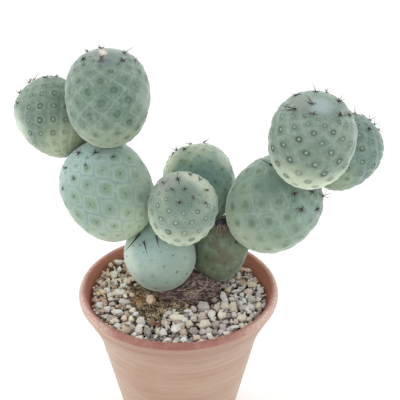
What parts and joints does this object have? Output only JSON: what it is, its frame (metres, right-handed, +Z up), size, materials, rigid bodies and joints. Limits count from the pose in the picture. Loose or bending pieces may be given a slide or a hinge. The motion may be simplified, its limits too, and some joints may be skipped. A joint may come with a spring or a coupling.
{
  "type": "potted tephrocactus",
  "caption": "Clay pot of soil and gravel with a branching cactus of round blue-green stem segments, with rows of low tubercles and short dark spines.",
  "frame": {"origin": "middle of the flat underside of the pot, on the surface that it stands on", "axes": "+Z up along the pot's axis, +X to the right and +Y away as seen from the front"},
  "size_m": [0.1832, 0.1081, 0.1977],
  "materials": {
    "clay": "matt unglazed clay, with fine turning lines",
    "soil": "dry crumbly soil",
    "gravel": "rough dry pumice and grit",
    "bark": "rough corky bark",
    "skin": "waxy matt skin with a grey bloom"
  },
  "bodies": {
    "root": {"pot": "clay", "soil": "soil", "gravel": "gravel", "woody_base": "bark", "segment_left_base": "skin", "segment_left_middle": "skin", "segment_left_top": "skin", "segment_left_outer": "skin", "segment_front": "skin", "segment_back": "skin", "segment_right_base": "skin", "segment_right_middle": "skin", "segment_right_top": "skin", "segment_right_outer": "skin"}
  },
  "joints": []
}
